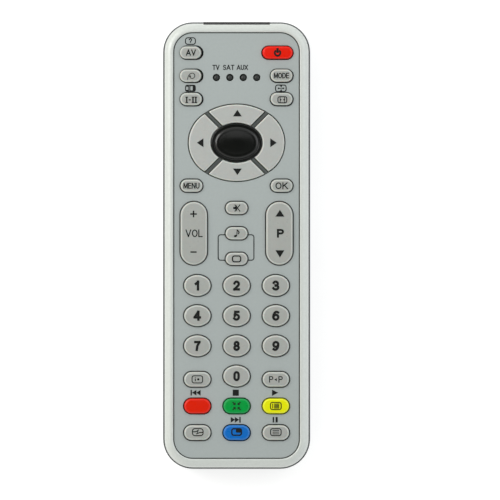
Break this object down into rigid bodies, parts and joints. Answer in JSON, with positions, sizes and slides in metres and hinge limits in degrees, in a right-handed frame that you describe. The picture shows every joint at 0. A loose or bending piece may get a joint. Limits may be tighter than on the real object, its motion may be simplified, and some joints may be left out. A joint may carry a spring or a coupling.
{
  "type": "universal remote control",
  "caption": "Flat handheld infrared remote control with a silver rim, an inlaid grey face, rubber keys, an oval direction pad, two rockers and a sliding battery door.",
  "frame": {"origin": "centre of the back face that it lies on", "axes": "+Z out of the keys, +Y along the case towards the infrared window, +X to the right seen from the keys"},
  "size_m": [0.0542, 0.1648, 0.0224],
  "materials": {
    "silver_case": "fine satin",
    "dark_case": "fine spark-eroded texture",
    "face_grey": "satin lacquer",
    "window_black": "polished",
    "frame_black": "satin",
    "gloss_black": "polished",
    "key_grey": "satin silicone",
    "key_power_red": "satin silicone",
    "key_red": "satin silicone",
    "key_green": "satin silicone",
    "key_yellow": "satin silicone",
    "key_blue": "satin silicone",
    "board_green": "solder mask",
    "smoke": "clear smoke",
    "infrared_lens": "clear",
    "chip_black": "moulded",
    "resonator_amber": "dipped",
    "capacitor_blue": "sleeved",
    "cell_wrap": "plain wrap",
    "plated_steel": "nickel plated",
    "screw_steel": "zinc plated"
  },
  "bodies": {
    "case": {"upper_shell": "silver_case", "faceplate": "face_grey", "ir_window": "window_black", "direction_frame": "frame_black", "centre_cap": "gloss_black", "keypad_mat": "key_grey", "circuit_board": "board_green", "mode_leds": "smoke", "ir_led": "infrared_lens", "controller_chip": "chip_black", "resonator": "resonator_amber", "storage_capacitor": "capacitor_blue", "drive_transistor": "chip_black", "chip_resistors": "chip_black", "lower_shell": "dark_case", "battery_left": "cell_wrap", "battery_right": "cell_wrap", "positive_plate": "plated_steel", "negative_plate": "plated_steel", "bridge_plate": "plated_steel", "contact_springs": "plated_steel", "case_screws": "screw_steel"},
    "battery_door": {"battery_door": "dark_case"},
    "source_key": {"source_key": "key_grey"},
    "power_key": {"power_key": "key_power_red"},
    "display_key": {"display_key": "key_grey"},
    "mode_key": {"mode_key": "key_grey"},
    "dual_key": {"dual_key": "key_grey"},
    "wide_key": {"wide_key": "key_grey"},
    "up_key": {"up_key": "key_grey"},
    "left_key": {"left_key": "key_grey"},
    "right_key": {"right_key": "key_grey"},
    "down_key": {"down_key": "key_grey"},
    "menu_key": {"menu_key": "key_grey"},
    "ok_key": {"ok_key": "key_grey"},
    "mute_key": {"mute_key": "key_grey"},
    "sound_key": {"sound_key": "key_grey"},
    "picture_key": {"picture_key": "key_grey"},
    "key_1": {"key_1": "key_grey"},
    "key_2": {"key_2": "key_grey"},
    "key_3": {"key_3": "key_grey"},
    "key_4": {"key_4": "key_grey"},
    "key_5": {"key_5": "key_grey"},
    "key_6": {"key_6": "key_grey"},
    "key_7": {"key_7": "key_grey"},
    "key_8": {"key_8": "key_grey"},
    "key_9": {"key_9": "key_grey"},
    "key_0": {"key_0": "key_grey"},
    "info_key": {"info_key": "key_grey"},
    "swap_key": {"swap_key": "key_grey"},
    "red_key": {"red_key": "key_red"},
    "green_key": {"green_key": "key_green"},
    "yellow_key": {"yellow_key": "key_yellow"},
    "list_key": {"list_key": "key_grey"},
    "blue_key": {"blue_key": "key_blue"},
    "text_key": {"text_key": "key_grey"},
    "volume_rocker": {"volume_rocker": "key_grey"},
    "channel_rocker": {"channel_rocker": "key_grey"}
  },
  "joints": [
    {"name": "battery_door_slide", "type": "slide", "parent": "case", "child": "battery_door", "axis": [0, -1, 0], "range_m": [0, 0.07]},
    {"name": "source_key_press", "type": "slide", "parent": "case", "child": "source_key", "axis": [0, 0, -1], "range_m": [0, 0.0008], "stiffness_N_per_m": 400},
    {"name": "power_key_press", "type": "slide", "parent": "case", "child": "power_key", "axis": [0, 0, -1], "range_m": [0, 0.0008], "stiffness_N_per_m": 400},
    {"name": "display_key_press", "type": "slide", "parent": "case", "child": "display_key", "axis": [0, 0, -1], "range_m": [0, 0.0008], "stiffness_N_per_m": 400},
    {"name": "mode_key_press", "type": "slide", "parent": "case", "child": "mode_key", "axis": [0, 0, -1], "range_m": [0, 0.0008], "stiffness_N_per_m": 400},
    {"name": "dual_key_press", "type": "slide", "parent": "case", "child": "dual_key", "axis": [0, 0, -1], "range_m": [0, 0.0008], "stiffness_N_per_m": 400},
    {"name": "wide_key_press", "type": "slide", "parent": "case", "child": "wide_key", "axis": [0, 0, -1], "range_m": [0, 0.0008], "stiffness_N_per_m": 400},
    {"name": "up_key_press", "type": "slide", "parent": "case", "child": "up_key", "axis": [0, 0, -1], "range_m": [0, 0.0008], "stiffness_N_per_m": 400},
    {"name": "left_key_press", "type": "slide", "parent": "case", "child": "left_key", "axis": [0, 0, -1], "range_m": [0, 0.0008], "stiffness_N_per_m": 400},
    {"name": "right_key_press", "type": "slide", "parent": "case", "child": "right_key", "axis": [0, 0, -1], "range_m": [0, 0.0008], "stiffness_N_per_m": 400},
    {"name": "down_key_press", "type": "slide", "parent": "case", "child": "down_key", "axis": [0, 0, -1], "range_m": [0, 0.0008], "stiffness_N_per_m": 400},
    {"name": "menu_key_press", "type": "slide", "parent": "case", "child": "menu_key", "axis": [0, 0, -1], "range_m": [0, 0.0008], "stiffness_N_per_m": 400},
    {"name": "ok_key_press", "type": "slide", "parent": "case", "child": "ok_key", "axis": [0, 0, -1], "range_m": [0, 0.0008], "stiffness_N_per_m": 400},
    {"name": "mute_key_press", "type": "slide", "parent": "case", "child": "mute_key", "axis": [0, 0, -1], "range_m": [0, 0.0008], "stiffness_N_per_m": 400},
    {"name": "sound_key_press", "type": "slide", "parent": "case", "child": "sound_key", "axis": [0, 0, -1], "range_m": [0, 0.0008], "stiffness_N_per_m": 400},
    {"name": "picture_key_press", "type": "slide", "parent": "case", "child": "picture_key", "axis": [0, 0, -1], "range_m": [0, 0.0008], "stiffness_N_per_m": 400},
    {"name": "key_1_press", "type": "slide", "parent": "case", "child": "key_1", "axis": [0, 0, -1], "range_m": [0, 0.0008], "stiffness_N_per_m": 400},
    {"name": "key_2_press", "type": "slide", "parent": "case", "child": "key_2", "axis": [0, 0, -1], "range_m": [0, 0.0008], "stiffness_N_per_m": 400},
    {"name": "key_3_press", "type": "slide", "parent": "case", "child": "key_3", "axis": [0, 0, -1], "range_m": [0, 0.0008], "stiffness_N_per_m": 400},
    {"name": "key_4_press", "type": "slide", "parent": "case", "child": "key_4", "axis": [0, 0, -1], "range_m": [0, 0.0008], "stiffness_N_per_m": 400},
    {"name": "key_5_press", "type": "slide", "parent": "case", "child": "key_5", "axis": [0, 0, -1], "range_m": [0, 0.0008], "stiffness_N_per_m": 400},
    {"name": "key_6_press", "type": "slide", "parent": "case", "child": "key_6", "axis": [0, 0, -1], "range_m": [0, 0.0008], "stiffness_N_per_m": 400},
    {"name": "key_7_press", "type": "slide", "parent": "case", "child": "key_7", "axis": [0, 0, -1], "range_m": [0, 0.0008], "stiffness_N_per_m": 400},
    {"name": "key_8_press", "type": "slide", "parent": "case", "child": "key_8", "axis": [0, 0, -1], "range_m": [0, 0.0008], "stiffness_N_per_m": 400},
    {"name": "key_9_press", "type": "slide", "parent": "case", "child": "key_9", "axis": [0, 0, -1], "range_m": [0, 0.0008], "stiffness_N_per_m": 400},
    {"name": "key_0_press", "type": "slide", "parent": "case", "child": "key_0", "axis": [0, 0, -1], "range_m": [0, 0.0008], "stiffness_N_per_m": 400},
    {"name": "info_key_press", "type": "slide", "parent": "case", "child": "info_key", "axis": [0, 0, -1], "range_m": [0, 0.0008], "stiffness_N_per_m": 400},
    {"name": "swap_key_press", "type": "slide", "parent": "case", "child": "swap_key", "axis": [0, 0, -1], "range_m": [0, 0.0008], "stiffness_N_per_m": 400},
    {"name": "red_key_press", "type": "slide", "parent": "case", "child": "red_key", "axis": [0, 0, -1], "range_m": [0, 0.0008], "stiffness_N_per_m": 400},
    {"name": "green_key_press", "type": "slide", "parent": "case", "child": "green_key", "axis": [0, 0, -1], "range_m": [0, 0.0008], "stiffness_N_per_m": 400},
    {"name": "yellow_key_press", "type": "slide", "parent": "case", "child": "yellow_key", "axis": [0, 0, -1], "range_m": [0, 0.0008], "stiffness_N_per_m": 400},
    {"name": "list_key_press", "type": "slide", "parent": "case", "child": "list_key", "axis": [0, 0, -1], "range_m": [0, 0.0008], "stiffness_N_per_m": 400},
    {"name": "blue_key_press", "type": "slide", "parent": "case", "child": "blue_key", "axis": [0, 0, -1], "range_m": [0, 0.0008], "stiffness_N_per_m": 400},
    {"name": "text_key_press", "type": "slide", "parent": "case", "child": "text_key", "axis": [0, 0, -1], "range_m": [0, 0.0008], "stiffness_N_per_m": 400},
    {"name": "volume_rocker_tilt", "type": "hinge", "parent": "case", "child": "volume_rocker", "pos_m": [-0.01575, 0.0045, 0.0185], "axis": [1, 0, 0], "range_deg": [-3.5, 3.5], "stiffness_Nm_per_rad": 0.05},
    {"name": "channel_rocker_tilt", "type": "hinge", "parent": "case", "child": "channel_rocker", "pos_m": [0.01575, 0.0045, 0.0185], "axis": [1, 0, 0], "range_deg": [-3.5, 3.5], "stiffness_Nm_per_rad": 0.05}
  ]
}
